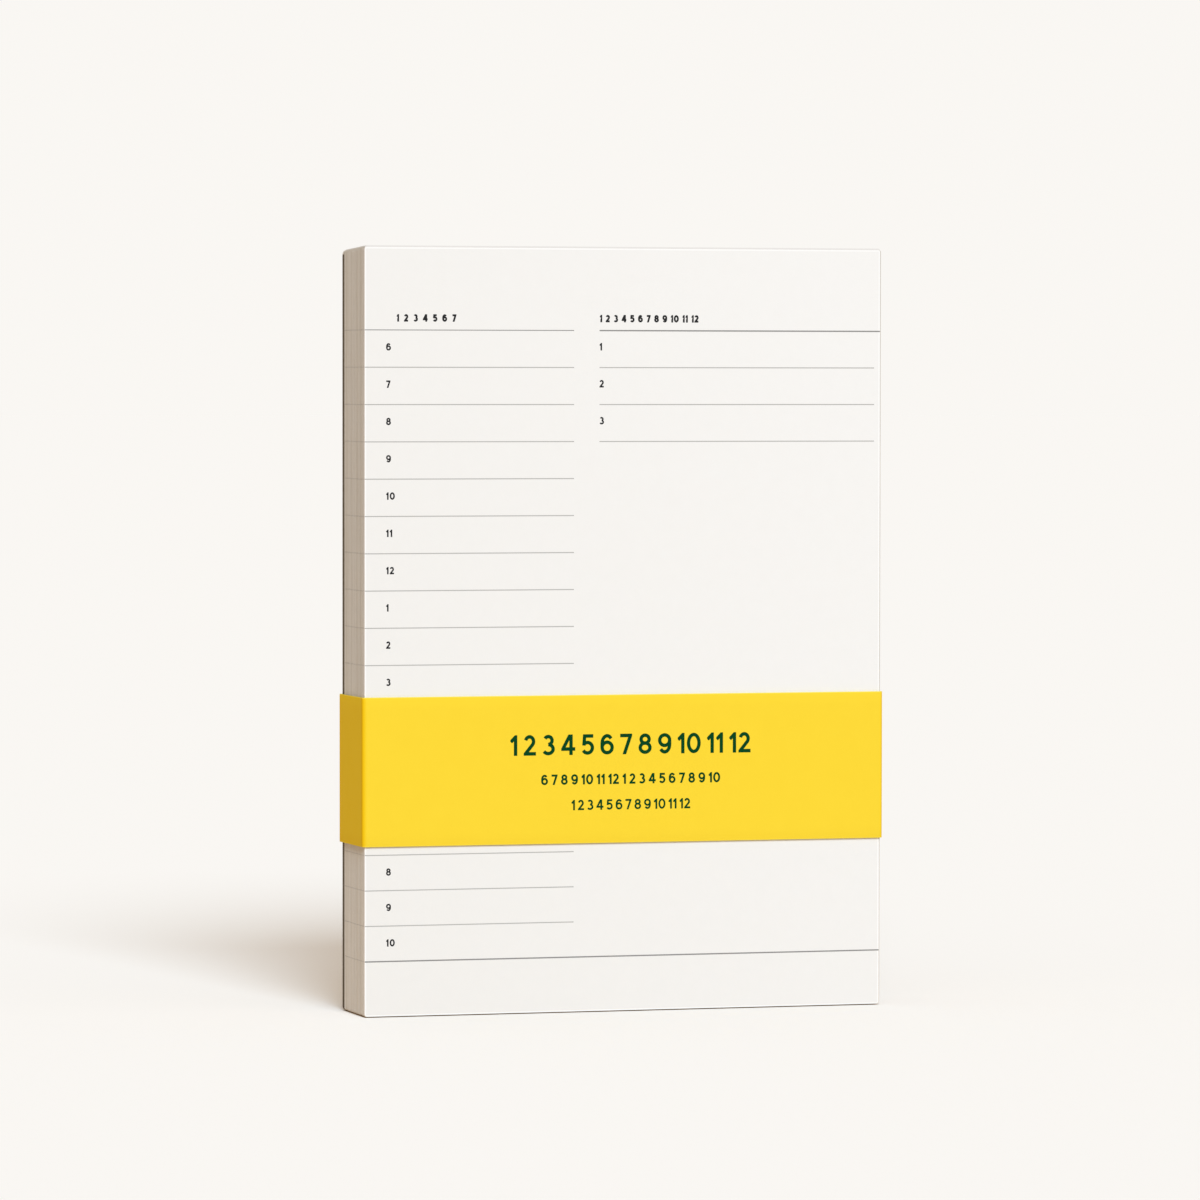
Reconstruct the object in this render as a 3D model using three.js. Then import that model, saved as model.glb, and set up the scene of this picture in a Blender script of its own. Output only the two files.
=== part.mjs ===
// Daily planner: a pad of tear-off sheets glued at the head to a back board. It stands on
// its foot, and a folded paper band runs round its lower part.
// Millimetres. X runs across the sheets, Y from the first sheet back to the board, Z up.

import * as THREE from 'three';

// Sheets
const sheetWidth = 148;
const sheetHeight = 210;
const sheetThickness = 0.19;
const sheetAir = 0.03; // air between one sheet and the next
const sheetCornerRadius = 0.6;
const sheetCount = 100;
const singleSheets = 10; // the first sheets, which come off one at a time
const sheetsPerLift = 5; // the sheets behind them are taken together, a lift to a node
const headDrop = 0.9; // the head is cut this much lower at the back than at the front

// Back board
const boardThickness = 2;
const boardCornerRadius = 1.5;

// Padding glue, a film brushed on along the head
const glueThickness = 0.4;
const glueAir = 0.03; // air under the film and beside the next sheet's film

// Belly band, one strip folded round the pad with its ends glued together at the back
const bandFoot = 46.6; // lower edge above the foot
const bandHeight = 40.8;
const bandThickness = 0.35;
const bandClearance = 0.4; // from the pad to the inside of the band
const bandFoldRadius = 0.35; // inside of each fold
const bandOverlap = 28; // how far the outer end runs over the inner one
const bandStepLength = 4; // run in which the outer end climbs over the inner one

// Glue strip between the two ends of the band
const seamGlueThickness = 0.1;
const seamGlueWidth = 20;
const seamGlueMargin = 2.4; // to the band's upper and lower edges

const cornerSteps = 4; // facets in a sheet's or the board's corner
const foldSteps = 6; // facets in a fold of the band

const sheetPitch = sheetThickness + sheetAir;
const boardFront = sheetCount * sheetPitch;
const padDepth = boardFront + boardThickness;
const halfWidth = sheetWidth / 2;
const seamDepth = bandThickness + seamGlueThickness;

const colours = {
  paper: 0xf6f3ee,
  board: 0x8b7a67,
  glue: 0xece9e3,
  band: 0xffd93d,
  seam: 0xe9dcae,
};

const finish = (color, roughness) =>
  new THREE.MeshStandardMaterial({ color, roughness, metalness: 0 });

// Height of the head cut at a depth behind the front of the first sheet.
const headAt = (depth) => sheetHeight - (headDrop * depth) / padDepth;

// An upright slab with its corners rounded, its foot at z = 0 and its head at sheetHeight.
function uprightSlab(front, thickness, cornerRadius) {
  const left = -halfWidth;
  const right = halfWidth;
  const top = sheetHeight;
  const outline = new THREE.Shape();
  outline.moveTo(left + cornerRadius, 0);
  outline.lineTo(right - cornerRadius, 0);
  outline.absarc(right - cornerRadius, cornerRadius, cornerRadius, -Math.PI / 2, 0);
  outline.absarc(right - cornerRadius, top - cornerRadius, cornerRadius, 0, Math.PI / 2);
  outline.absarc(left + cornerRadius, top - cornerRadius, cornerRadius, Math.PI / 2, Math.PI);
  outline.absarc(left + cornerRadius, cornerRadius, cornerRadius, Math.PI, Math.PI * 1.5);
  const slab = new THREE.ExtrudeGeometry(outline, {
    depth: thickness,
    bevelEnabled: false,
    curveSegments: cornerSteps,
  });
  slab.rotateX(Math.PI / 2);
  slab.translate(0, front + thickness, 0);
  return cutHead(slab);
}

// Lowers the upper half of a slab to the slanting cut at the head.
function cutHead(slab) {
  const place = slab.getAttribute('position');
  for (let i = 0; i < place.count; i += 1) {
    if (place.getZ(i) > sheetHeight / 2) {
      place.setZ(i, place.getZ(i) - (sheetHeight - headAt(place.getY(i))));
    }
  }
  slab.computeVertexNormals();
  return slab;
}

// The film over the heads from one depth to another, as long as the straight of the head.
function glueFilm(front, back) {
  const section = new THREE.Shape();
  section.moveTo(front, headAt(front) + glueAir);
  section.lineTo(back, headAt(back) + glueAir);
  section.lineTo(back, headAt(back) + glueAir + glueThickness);
  section.lineTo(front, headAt(front) + glueAir + glueThickness);
  section.closePath();
  const length = sheetWidth - 2 * sheetCornerRadius;
  const film = new THREE.ExtrudeGeometry(section, { depth: length, bevelEnabled: false });
  // The section is drawn as (depth, height), and these turns lay it on Y and Z.
  film.rotateY(Math.PI / 2);
  film.rotateX(Math.PI / 2);
  film.translate(-length / 2, 0, 0);
  return film;
}

// Points of a quarter turn round a centre, without its first point.
function fold(centreX, centreY, radius, fromAngle) {
  const points = [];
  for (let i = 1; i <= foldSteps; i += 1) {
    const angle = fromAngle - (i / foldSteps) * (Math.PI / 2);
    points.push([centreX + radius * Math.cos(angle), centreY + radius * Math.sin(angle)]);
  }
  return points;
}

// One face of the band seen from above, a distance out from its inner face. It starts at
// the inner end behind the board, goes round by the right, front and left sides, and comes
// back over itself to the outer end.
function bandFace(out) {
  const reachX = halfWidth + bandClearance + out;
  const frontY = -bandClearance - out;
  const backY = padDepth + bandClearance + out;
  const radius = bandFoldRadius + out;
  const straightX = reachX - radius;
  const overlapStart = -bandOverlap / 2;
  const overlapEnd = bandOverlap / 2;
  return [
    [overlapStart, backY],
    [straightX, backY],
    ...fold(straightX, backY - radius, radius, Math.PI / 2),
    [reachX, frontY + radius],
    ...fold(straightX, frontY + radius, radius, 0),
    [-straightX, frontY],
    ...fold(-straightX, frontY + radius, radius, -Math.PI / 2),
    [-reachX, backY - radius],
    ...fold(-straightX, backY - radius, radius, -Math.PI),
    [overlapStart - 2 * bandStepLength, backY],
    [overlapStart - bandStepLength, backY + seamDepth],
    [overlapEnd, backY + seamDepth],
  ];
}

function bellyBand() {
  const inner = bandFace(0);
  const outer = bandFace(bandThickness);
  const outline = new THREE.Shape(
    [...inner, ...outer.reverse()].map(([x, y]) => new THREE.Vector2(x, y)),
  );
  const band = new THREE.ExtrudeGeometry(outline, { depth: bandHeight, bevelEnabled: false });
  band.translate(0, 0, bandFoot);
  return band;
}

// The strip of glue that fills the step between the band's two ends.
function seamGlue() {
  const height = bandHeight - 2 * seamGlueMargin;
  const strip = new THREE.BoxGeometry(seamGlueWidth, seamGlueThickness, height);
  const innerEndFace = padDepth + bandClearance + bandThickness;
  strip.translate(0, innerEndFace + seamGlueThickness / 2, bandFoot + bandHeight / 2);
  return strip;
}

const planner = new THREE.Group();

// The band stands further out behind the board, where it is double, than in front, so the
// pad is set forward by half of that to keep the whole planner centred.
const pad = new THREE.Group();
pad.position.y = -(padDepth + seamDepth) / 2;
planner.add(pad);

function addPiece(name, geometry, material) {
  const piece = new THREE.Mesh(geometry, material);
  piece.name = name;
  pad.add(piece);
}

const number = (sheet) => String(sheet).padStart(3, '0');

const paper = finish(colours.paper, 0.85);
const glue = finish(colours.glue, 0.55);

for (let sheet = 1; sheet <= singleSheets; sheet += 1) {
  const front = (sheet - 1) * sheetPitch;
  const name = `sheet_${number(sheet)}`;
  addPiece(name, uprightSlab(front, sheetThickness, sheetCornerRadius), paper);
  addPiece(`${name}_glue`, glueFilm(front, front + sheetThickness), glue);
}

for (let first = singleSheets + 1; first <= sheetCount; first += sheetsPerLift) {
  const last = Math.min(first + sheetsPerLift - 1, sheetCount);
  const front = (first - 1) * sheetPitch;
  const thickness = (last - first) * sheetPitch + sheetThickness;
  const lift = uprightSlab(front, thickness, sheetCornerRadius);
  addPiece(`sheets_${number(first)}_${number(last)}`, lift, paper);
}

addPiece('head_glue', glueFilm(singleSheets * sheetPitch, padDepth), glue);
addPiece(
  'back_board',
  uprightSlab(boardFront, boardThickness, boardCornerRadius),
  finish(colours.board, 0.9),
);
addPiece('belly_band', bellyBand(), finish(colours.band, 0.6));
addPiece('band_seam_glue', seamGlue(), finish(colours.seam, 0.5));

export default planner;
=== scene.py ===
import math
import random

import bpy
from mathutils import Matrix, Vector, noise
from mathutils.geometry import delaunay_2d_cdt


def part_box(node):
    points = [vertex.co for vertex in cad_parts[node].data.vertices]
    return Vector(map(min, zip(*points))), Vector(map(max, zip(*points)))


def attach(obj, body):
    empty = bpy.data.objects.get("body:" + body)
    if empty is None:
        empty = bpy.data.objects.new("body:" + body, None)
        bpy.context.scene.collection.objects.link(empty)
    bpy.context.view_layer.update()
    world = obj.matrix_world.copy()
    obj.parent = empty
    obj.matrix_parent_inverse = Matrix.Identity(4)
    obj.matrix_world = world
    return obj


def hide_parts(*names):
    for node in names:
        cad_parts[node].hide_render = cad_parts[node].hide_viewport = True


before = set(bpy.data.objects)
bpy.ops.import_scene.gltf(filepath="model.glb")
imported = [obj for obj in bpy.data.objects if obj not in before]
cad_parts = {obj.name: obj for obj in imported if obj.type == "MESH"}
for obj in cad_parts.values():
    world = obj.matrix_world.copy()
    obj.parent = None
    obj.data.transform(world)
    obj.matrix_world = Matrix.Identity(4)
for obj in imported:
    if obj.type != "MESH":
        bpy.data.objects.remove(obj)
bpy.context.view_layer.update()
print("frame loaded")

mm = 0.001
random.seed(7)

# What the frame gives: the pad stands on z = 0, with its first sheet facing -Y.
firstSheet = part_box("sheet_001")
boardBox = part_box("back_board")
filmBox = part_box("head_glue")
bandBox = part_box("belly_band")
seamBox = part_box("band_seam_glue")

padFront = firstSheet[0].y
padBack = boardBox[1].y
halfWidth = firstSheet[1].x
sheetHeight = firstSheet[1].z
sheetThickness = firstSheet[1].y - firstSheet[0].y
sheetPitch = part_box("sheet_002")[0].y - padFront
sheetCount = round((boardBox[0].y - padFront) / sheetPitch)
singleSheets = round((filmBox[0].y - padFront) / sheetPitch)
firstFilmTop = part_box("sheet_001_glue")[1].z
headSlope = (firstFilmTop - filmBox[1].z) / (filmBox[0].y - padFront)


def headAt(y):
    # the head is cut a little lower towards the back
    return sheetHeight - headSlope * (y - padFront)


# Mesh tools

def makePiece(name, points, faces, materials, faceMaterial=None, smoothAngle=None):
    mesh = bpy.data.meshes.new(name)
    mesh.from_pydata(points, [], faces)
    for material in materials:
        mesh.materials.append(material)
    if faceMaterial:
        mesh.polygons.foreach_set("material_index", faceMaterial)
    if smoothAngle:
        mesh.polygons.foreach_set("use_smooth", [True] * len(mesh.polygons))
        mesh.set_sharp_from_angle(angle=math.radians(smoothAngle))
    mesh.update()
    piece = bpy.data.objects.new(name, mesh)
    bpy.context.scene.collection.objects.link(piece)
    return piece


def ringFaces(ringSize, ringCount, flipped=False):
    # quads between neighbouring rings of points, and a face over the first and the last ring
    faces = [tuple(reversed(range(ringSize)))]
    for ring in range(ringCount - 1):
        near = ring * ringSize
        far = near + ringSize
        for step in range(ringSize):
            after = (step + 1) % ringSize
            faces.append((near + step, near + after, far + after, far + step))
    last = ringSize * (ringCount - 1)
    faces.append(tuple(range(last, last + ringSize)))
    return [face[::-1] for face in faces] if flipped else faces


def roundedOutline(left, right, foot, head, radius, steps):
    # corners in turn from the lower right, counter-clockwise as seen from the front
    corners = (
        (right - radius, foot + radius, -90),
        (right - radius, head - radius, 0),
        (left + radius, head - radius, 90),
        (left + radius, foot + radius, 180),
    )
    outline = []
    for x, z, start in corners:
        for step in range(steps + 1):
            angle = math.radians(start + 90 * step / steps)
            outline.append((x + radius * math.cos(angle), z + radius * math.sin(angle)))
    return outline


def stackOutlines(rings, left, right, foot, radius, steps):
    # a flat solid of outlines one behind the other; a ring is its depth and how far it stands in
    points = []
    for y, inset in rings:
        outline = roundedOutline(
            left + inset, right - inset, foot + inset, headAt(y) - inset, radius - inset, steps
        )
        points += [(x, y, z) for x, z in outline]
    return points, ringFaces(len(points) // len(rings), len(rings), flipped=True)


def ripple(place, size, seed):
    # smooth noise from -1 to 1 with waves about as long as size
    return noise.noise(Vector(place) / size + Vector((seed, seed * 0.7, seed * 0.3)))


# Node tools

def feed(tree, term, socket):
    if isinstance(term, bpy.types.NodeSocket):
        tree.links.new(term, socket)
    else:
        socket.default_value = term


def addNode(tree, kind, inputs=None, **settings):
    node = tree.nodes.new(kind)
    for setting, value in settings.items():
        setattr(node, setting, value)
    for socket, term in (inputs or {}).items():
        feed(tree, term, node.inputs[socket])
    return node


def calc(tree, operation, *terms):
    return addNode(tree, "ShaderNodeMath", dict(enumerate(terms)), operation=operation).outputs[0]


def calcVector(tree, operation, *terms, **named):
    inputs = {**dict(enumerate(terms)), **named}
    return addNode(tree, "ShaderNodeVectorMath", inputs, operation=operation).outputs["Vector"]


def weigh(tree, *pairs):
    # the sum of some values, each times its own weight
    parts = [calc(tree, "MULTIPLY", value, weight) for value, weight in pairs]
    total = parts[0]
    for part in parts[1:]:
        total = calc(tree, "ADD", total, part)
    return total


def blendColours(tree, share, first, second):
    inputs = {"Factor": share, "A": first, "B": second}
    return addNode(tree, "ShaderNodeMix", inputs, data_type="RGBA").outputs["Result"]


def stretch(tree, value, low, high, toLow, toHigh):
    inputs = {"Value": value, "From Min": low, "From Max": high, "To Min": toLow, "To Max": toHigh}
    return addNode(tree, "ShaderNodeMapRange", inputs).outputs["Result"]


def splitPlace(tree, place):
    return addNode(tree, "ShaderNodeSeparateXYZ", {"Vector": place}).outputs


def scalePlace(tree, place, scale, moved=0.0):
    inputs = {"Vector": place, "Location": (moved, moved, moved), "Scale": scale}
    return addNode(tree, "ShaderNodeMapping", inputs).outputs["Vector"]


def noiseAt(tree, place, scale, detail, roughness=0.5, distortion=0.0):
    inputs = {"Vector": place, "Scale": scale, "Detail": detail}
    inputs.update({"Roughness": roughness, "Distortion": distortion})
    return addNode(tree, "ShaderNodeTexNoise", inputs).outputs["Fac"]


def startMaterial(name, specular, roughness=None):
    material = bpy.data.materials.new(name)
    material.use_nodes = True
    tree = material.node_tree
    shader = tree.nodes["Principled BSDF"]
    shader.inputs["Specular IOR Level"].default_value = specular
    if roughness is not None:
        shader.inputs["Roughness"].default_value = roughness
    return material, tree, shader, addNode(tree, "ShaderNodeTexCoord").outputs["Object"]


def startGroup(name, numbers, outputs):
    group = bpy.data.node_groups.new(name, "ShaderNodeTree")
    group.interface.new_socket(name="Place", in_out="INPUT", socket_type="NodeSocketVector")
    for label, value in numbers.items():
        socket = group.interface.new_socket(
            name=label, in_out="INPUT", socket_type="NodeSocketFloat"
        )
        socket.default_value = value
    for label in outputs:
        group.interface.new_socket(name=label, in_out="OUTPUT", socket_type="NodeSocketFloat")
    return group, group.nodes.new("NodeGroupInput"), group.nodes.new("NodeGroupOutput")


def useGroup(tree, group, place, *numbers):
    # the numbers come in the order of the group's own sockets
    inputs = dict(enumerate((place, *numbers)))
    return addNode(tree, "ShaderNodeGroup", inputs, node_tree=group).outputs


def setSurface(tree, shader, colour, height, depth):
    bump = addNode(tree, "ShaderNodeBump", {"Distance": depth, "Height": height})
    feed(tree, colour, shader.inputs["Base Color"])
    feed(tree, bump.outputs["Normal"], shader.inputs["Normal"])


# Paper fibres and the cloudy look that they give a sheet. Scales are waves to the metre. Each
# look gives its grain as the fibre scale, the cloud scale and the contrast.
def buildPaperGrain():
    numbers = {"Fibre Scale": 3000.0, "Cloud Scale": 220.0, "Contrast": 1.0}
    group, source, result = startGroup("paperGrain", numbers, ("Tone", "Height"))
    place = source.outputs["Place"]
    fibre = noiseAt(group, place, source.outputs["Fibre Scale"], detail=3.0, distortion=1.2)
    cloud = noiseAt(group, place, source.outputs["Cloud Scale"], detail=4.0, roughness=0.6)
    swing = calc(group, "SUBTRACT", weigh(group, (fibre, 0.45), (cloud, 0.55)), 0.5)
    swing = calc(group, "MULTIPLY", swing, source.outputs["Contrast"])
    feed(group, calc(group, "ADD", swing, 0.5), result.inputs["Tone"])
    feed(group, weigh(group, (fibre, 1.0), (cloud, 0.4)), result.inputs["Height"])
    return group


# Fine level scratches that the trimming knife leaves across everything it cut.
def buildKnifeMarks():
    group, source, result = startGroup("knifeMarks", {"Scale": 900.0}, ("Mark",))
    drawnOut = scalePlace(group, source.outputs["Place"], (0.03, 0.03, 1.0))
    marks = noiseAt(group, drawnOut, source.outputs["Scale"], detail=2.0, roughness=0.7)
    feed(group, marks, result.inputs["Mark"])
    return group


paperGrain = buildPaperGrain()
knifeMarks = buildKnifeMarks()
noiseSpan = (0.3, 0.7)  # nearly all of a noise lies between these
noiseCore = (0.35, 0.65)

# Ink, on the sheets and on the band

inkLook = {
    "specular": 0.03,
    "grain": (4200.0, 600.0, 1.0),
    "paperTone": 0.8,  # what shows through where the ink is thin
    "bump": 0.01 * mm,
    "rise": 0.012 * mm,  # how far the ink stands proud of the paper
}


def inkMaterial(name, colour, roughness, fade):
    material, tree, shader, place = startMaterial(name, inkLook["specular"], roughness)
    grain = useGroup(tree, paperGrain, place, *inkLook["grain"])
    worn = tuple(part + (inkLook["paperTone"] - part) * fade for part in colour[:3]) + (1,)
    colour = blendColours(tree, grain["Tone"], colour, worn)
    setSurface(tree, shader, colour, grain["Height"], inkLook["bump"])
    return material


def printSolid(name, shapes, surface, sink, material):
    # flat ink as thin closed solids on a surface that faces -Y, from the sheet's left edge
    points, faces = [], []
    for outline, cells in shapes:
        first = len(points)
        count = len(outline)
        points += [(p.x - halfWidth, surface - inkLook["rise"], p.y) for p in outline]
        points += [(p.x - halfWidth, surface + sink, p.y) for p in outline]
        edges = {(cell[k], cell[(k + 1) % len(cell)]) for cell in cells for k in range(len(cell))}
        faces += [[first + corner for corner in cell] for cell in cells]
        faces += [[first + count + corner for corner in reversed(cell)] for cell in cells]
        for a, b in sorted(edges):
            if (b, a) not in edges:
                faces.append((first + b, first + a, first + count + a, first + count + b))
    return makePiece(name, points, faces, [material])


# Digits are drawn as pen lines in a square of side 1, then narrowed to the digit's own width.

penLook = {
    "bowStep": 15,  # degrees
    "joinReach": 0.25,  # below this cosine a mitred join is cut short
    "samePlace": 1e-6,
    "smallestArea": 1e-9,
    "weld": 1e-5,
}


def bow(centreX, centreY, radiusX, radiusY, start, end):
    steps = max(3, round(abs(end - start) / penLook["bowStep"]))
    turns = [math.radians(start + (end - start) * step / steps) for step in range(steps + 1)]
    return [(centreX + radiusX * math.cos(a), centreY + radiusY * math.sin(a)) for a in turns]


sixTail = [(0.0, 0.33), (0.0, 0.48)] + bow(0.5, 0.56, 0.5, 0.44, 172, 38)
sixLines = [bow(0.5, 0.31, 0.5, 0.31, 0, 360), sixTail]
threeBows = [bow(0.46, 0.765, 0.42, 0.235, 150, -90), bow(0.46, 0.265, 0.54, 0.265, 90, -150)]
digitLines = {
    "0": (0.71, [bow(0.5, 0.5, 0.5, 0.5, 0, 360)]),
    "1": (0.35, [[(-0.35, 0.70), (1, 1), (1, -0.2)]]),
    "2": (0.62, [bow(0.47, 0.72, 0.45, 0.28, 165, -38) + [(0.0, 0.0), (1.2, 0.0)]]),
    "3": (0.63, threeBows),
    "4": (0.71, [[(0.74, 1.16), (0.0, 0.25), (1.2, 0.25)], [(0.76, 1.2), (0.76, -0.2)]]),
    "5": (0.63, [[(1.1, 1.0), (0.14, 1.0), (0.06, 0.44)], bow(0.46, 0.31, 0.54, 0.31, 140, -150)]),
    "6": (0.68, sixLines),
    "7": (0.61, [[(-0.2, 1.0), (1.0, 1.0), (0.22, -0.2)]]),
    "8": (0.67, [bow(0.5, 0.765, 0.41, 0.235, 0, 360), bow(0.5, 0.27, 0.5, 0.27, 0, 360)]),
    "9": (0.68, [[(1 - x, 1 - y) for x, y in line] for line in sixLines]),
}


def penStroke(line, weight):
    # a quad for each step of the pen, with mitred joins
    closed = math.dist(line[0], line[-1]) < penLook["samePlace"]
    points = [Vector(point) for point in (line[:-1] if closed else line)]
    count = len(points)
    sides = []
    for place, point in enumerate(points):
        before = points[place - 1] if closed or place else None
        after = points[(place + 1) % count] if closed or place < count - 1 else None
        ways = [(point - before).normalized()] if before else []
        ways += [(after - point).normalized()] if after else []
        normals = [Vector((-way.y, way.x)) for way in ways]
        middle = sum(normals, Vector((0, 0))).normalized()
        reach = weight / 2 / max(penLook["joinReach"], middle.dot(normals[0]))
        sides.append((point + middle * reach, point - middle * reach))
    quads = []
    for place in range(count if closed else count - 1):
        here, there = sides[place], sides[(place + 1) % count]
        quads.append([here[1], there[1], there[0], here[0]])
    return quads


def joinShapes(shapes, box):
    # triangles of everything that the shapes cover inside the box, which is loop 0
    points, loops = [], []
    for shape in [box] + shapes:
        area = sum(a[0] * b[1] - b[0] * a[1] for a, b in zip(shape, shape[1:] + shape[:1]))
        if abs(area) < penLook["smallestArea"]:
            continue
        loops.append(list(range(len(points), len(points) + len(shape))))
        points += [Vector((p[0], p[1])) for p in (shape if area > 0 else shape[::-1])]
    cut = delaunay_2d_cdt(points, [], loops, 0, penLook["weld"])
    corners, triangles, owners = cut[0], cut[2], cut[5]
    kept = [face for face, own in zip(triangles, owners) if 0 in own and len(own) > 1]
    used = sorted({corner for face in kept for corner in face})
    renumber = {corner: place for place, corner in enumerate(used)}
    return [corners[corner] for corner in used], [[renumber[c] for c in face] for face in kept]


def drawDigit(digit, weight):
    width, lines = digitLines[digit]
    edge = weight / 2
    quads = []
    for line in lines:
        placed = [(edge + x * (width - weight), edge + y * (1 - weight)) for x, y in line]
        quads += penStroke(placed, weight)
    return joinShapes(quads, [(0, 0), (width, 0), (width, 1), (0, 1)])


digitStore = {}


def digitShape(digit, weight):
    if (digit, weight) not in digitStore:
        digitStore[digit, weight] = drawDigit(digit, weight)
    return digitStore[digit, weight]


def setNumbers(numbers, height, weight, gap, left, foot, width=0.0):
    # one line of numbers, spread evenly over the width; the gap is between a number's digits
    digitGap = gap * height
    widths = [
        sum(digitLines[digit][0] * height for digit in number) + digitGap * (len(number) - 1)
        for number in numbers
    ]
    space = (width - sum(widths)) / max(1, len(numbers) - 1)
    shapes = []
    for number, ownWidth in zip(numbers, widths):
        pen = left
        for digit in number:
            points, faces = digitShape(digit, weight)
            shapes.append(([Vector((pen, foot)) + p * height for p in points], faces))
            pen += digitLines[digit][0] * height + digitGap
        left += ownWidth + space
    return shapes


def countUp(last, first=1):
    return [str(number) for number in range(first, last + 1)]


hours = countUp(12, 6) + countUp(10)

# Print on a sheet

printLook = {
    "topRule": 187.43 * mm,  # heights of the rules above the foot
    "upperEnd": 96.09 * mm,
    "lowerStart": 44.32 * mm,
    "lowestRule": 15.28 * mm,
    "upperRows": 9,
    "coveredRows": 5,
    "lowerRows": 3,
    "rankedRows": 3,
    "ruleWidth": 0.27 * mm,
    "headRuleWidth": 0.23 * mm,
    "strongRuleWidth": 0.36 * mm,
    "edgeInset": 0.05 * mm,  # how far from the sheet's edges the rules end
    "leftColumnEnd": 59.37 * mm,  # across the sheet, from its left edge
    "rightColumnStart": 66.65 * mm,
    "rightColumnEnd": 146.27 * mm,
    "hourStart": 6.05 * mm,
    "hourHeight": 2.02 * mm,
    "hourDrop": 4.60 * mm,  # from a rule down to the middle of the number
    "rankHeight": 2.07 * mm,
    "rankDrop": 4.43 * mm,
    "headingLeft": (9.0 * mm, 25.9 * mm),
    "headingRight": (66.7 * mm, 95.2 * mm),
    "headingFoot": 189.7 * mm,
    "headingHeight": 2.04 * mm,
    "numberWeight": 0.212,  # pen widths and gaps are shares of the height
    "numberGap": 0.16,
    "headingWeight": 0.26,
    "headingGap": 0.09,
    "inkSink": 0.004 * mm,
    "ruleInk": ((0.47, 0.455, 0.43, 1), 0.8, 0.10),  # colour, roughness, how much it fades
    "strongInk": ((0.27, 0.26, 0.25, 1), 0.8, 0.06),
    "numberInk": ((0.018, 0.018, 0.019, 1), 0.7, 0.02),
}


def ruleHeights(look):
    spans = (
        (look["topRule"], look["upperEnd"], look["upperRows"]),
        (look["upperEnd"], look["lowerStart"], look["coveredRows"]),
        (look["lowerStart"], look["lowestRule"], look["lowerRows"]),
    )
    heights = [look["topRule"]]
    for start, end, rows in spans:
        heights += [start + (end - start) * row / rows for row in range(1, rows + 1)]
    return heights


rules = ruleHeights(printLook)


def ruleShape(left, right, middle, width):
    low, high = middle - width / 2, middle + width / 2
    corners = ((left, low), (right, low), (right, high), (left, high))
    return [Vector(corner) for corner in corners], [[0, 1, 2, 3]]


def fineRuleShapes(look):
    shapes = []
    width = look["ruleWidth"]
    for row, height in enumerate(rules[1:-1]):
        shapes.append(ruleShape(look["edgeInset"], look["leftColumnEnd"], height, width))
        if row < look["rankedRows"]:
            start, end = look["rightColumnStart"], look["rightColumnEnd"]
            shapes.append(ruleShape(start, end, height, width))
    return shapes


def strongRuleShapes(look):
    left, right = look["edgeInset"], 2 * halfWidth - look["edgeInset"]
    return [
        ruleShape(left, look["leftColumnEnd"], rules[0], look["headRuleWidth"]),
        ruleShape(look["rightColumnStart"], right, rules[0], look["strongRuleWidth"]),
        ruleShape(left, right, rules[-1], look["strongRuleWidth"]),
    ]


def numberShapes(look):
    shapes = []
    weight, gap = look["numberWeight"], look["numberGap"]
    ranks = countUp(look["rankedRows"])
    columns = (
        (hours, look["hourHeight"], look["hourDrop"], look["hourStart"]),
        (ranks, look["rankHeight"], look["rankDrop"], look["rightColumnStart"]),
    )
    for numbers, size, drop, left in columns:
        for number, rule in zip(numbers, rules):
            shapes += setNumbers([number], size, weight, gap, left, rule - drop - size / 2)
    # Over the columns stand plain numbers to ring: the day of the week, and the month.
    weight, gap = look["headingWeight"], look["headingGap"]
    headings = ((countUp(7), look["headingLeft"]), (countUp(12), look["headingRight"]))
    for numbers, (start, end) in headings:
        shapes += setNumbers(
            numbers, look["headingHeight"], weight, gap, start, look["headingFoot"], end - start
        )
    return shapes


inkLayers = (
    ("fine_rules", fineRuleShapes(printLook), inkMaterial("ruleInk", *printLook["ruleInk"])),
    ("strong_rules", strongRuleShapes(printLook),
     inkMaterial("strongRuleInk", *printLook["strongInk"])),
    ("numbers", numberShapes(printLook), inkMaterial("numberInk", *printLook["numberInk"])),
)


def printSheet(label, body, front):
    for layer, shapes, material in inkLayers:
        piece = printSolid(f"{label}_{layer}", shapes, front, printLook["inkSink"], material)
        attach(piece, body)


print("print drawn:", len(digitStore), "digit shapes")

# Sheets

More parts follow.
